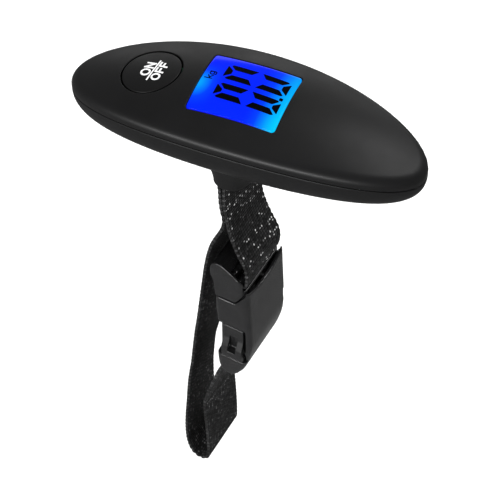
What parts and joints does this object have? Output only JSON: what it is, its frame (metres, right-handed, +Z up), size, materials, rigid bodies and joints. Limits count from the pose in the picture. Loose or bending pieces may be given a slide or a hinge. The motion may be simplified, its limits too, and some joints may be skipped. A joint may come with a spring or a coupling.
{
  "type": "digital luggage scale",
  "caption": "Hand-held digital luggage scale: an arched oval handle with a lit display and round button, and a webbing strap closed by a side-release buckle.",
  "frame": {"origin": "middle of the hand grip, level with the parting line at the handle's two tips", "axes": "+Z up out of the display, +X along the handle away from the button, +Y across it"},
  "size_m": [0.132, 0.0498, 0.2254],
  "materials": {
    "housing_top": "soft-touch matt",
    "housing_bottom": "soft-touch matt",
    "display_window": "clear, lit blue from behind",
    "button": "satin, printed label",
    "lcd_glass": "polished",
    "backlight": "diffusing",
    "white_plastic": "moulded",
    "contact_rubber": "striped",
    "circuit_board": "solder mask",
    "chip": "epoxy",
    "switch_case": "satin",
    "switch_plunger": "moulded",
    "load_cell": "milled",
    "gauge_film": "film",
    "steel_plate": "zinc plated",
    "screws": "zinc plated",
    "coin_cell": "bright",
    "contacts": "nickel plated",
    "lead_grey": "PVC",
    "lead_red": "PVC",
    "lead_black": "PVC",
    "webbing": "coarse woven polypropylene",
    "buckle": "moulded acetal"
  },
  "bodies": {
    "handle": {"top_housing": "housing_top", "bottom_housing": "housing_bottom", "display_window": "display_window", "lcd_panel": "lcd_glass", "backlight_panel": "backlight", "lcd_frame": "white_plastic", "zebra_strip": "contact_rubber", "circuit_board": "circuit_board", "controller_chip": "chip", "switch_body": "switch_case", "load_cell": "load_cell", "strain_gauge_top": "gauge_film", "strain_gauge_bottom": "gauge_film", "load_cell_mount": "steel_plate", "load_cell_screw_1": "screws", "load_cell_screw_2": "screws", "battery_holder": "white_plastic", "coin_cell": "coin_cell", "battery_contact_plus": "contacts", "battery_contact_minus": "contacts", "board_screw_1": "screws", "board_screw_2": "screws", "housing_screw_1": "screws", "housing_screw_2": "screws", "housing_screw_3": "screws", "housing_screw_4": "screws", "load_cell_lead": "lead_grey", "battery_lead_plus": "lead_red", "battery_lead_minus": "lead_black"},
    "button": {"power_button": "button"},
    "plunger": {"switch_plunger": "switch_plunger"},
    "hanger": {"hanger_stirrup": "steel_plate", "hanger_washer": "screws", "hanger_nut": "screws", "strap_bar": "steel_plate"},
    "strap": {"webbing": "webbing", "buckle_socket": "buckle", "buckle_plug": "buckle"},
    "near_arm": {"latch_arm_near": "buckle"},
    "far_arm": {"latch_arm_far": "buckle"},
    "cover": {"battery_cover": "housing_bottom"}
  },
  "joints": [
    {"name": "button_press", "type": "slide", "parent": "handle", "child": "button", "axis": [0, 0, 1], "range_m": [-0.0007, 0], "stiffness_N_per_m": 500, "springref_m": 0.0004},
    {"name": "switch_travel", "type": "slide", "parent": "handle", "child": "plunger", "axis": [0, 0, 1], "range_m": [-0.0007, 0]},
    {"name": "hanger_swivel", "type": "hinge", "parent": "handle", "child": "hanger", "pos_m": [-0.0015, 0, -0.008], "axis": [0, 0, 1], "range_deg": [-2, 16]},
    {"name": "strap_swing", "type": "hinge", "parent": "hanger", "child": "strap", "pos_m": [-0.0015, 0, -0.008], "axis": [0.1219, 0.9925, 0], "range_deg": [-8, 8]},
    {"name": "near_arm_squeeze", "type": "hinge", "parent": "strap", "child": "near_arm", "pos_m": [-0.0026, -0.00893, -0.085], "axis": [0.9925, -0.1219, 0], "range_deg": [0, 8.5], "stiffness_Nm_per_rad": 1, "springref_deg": -1.72},
    {"name": "far_arm_squeeze", "type": "hinge", "parent": "strap", "child": "far_arm", "pos_m": [-0.0004, 0.00893, -0.085], "axis": [0.9925, -0.1219, 0], "range_deg": [-8.5, 0]},
    {"name": "cover_open", "type": "hinge", "parent": "handle", "child": "cover", "pos_m": [0.022, 0, -0.0074], "axis": [0, 1, 0], "range_deg": [0, 75]}
  ],
  "couplings": [
    {"joint": "switch_travel", "follows": "button_press", "ratio": 1},
    {"joint": "far_arm_squeeze", "follows": "near_arm_squeeze", "ratio": -1}
  ]
}
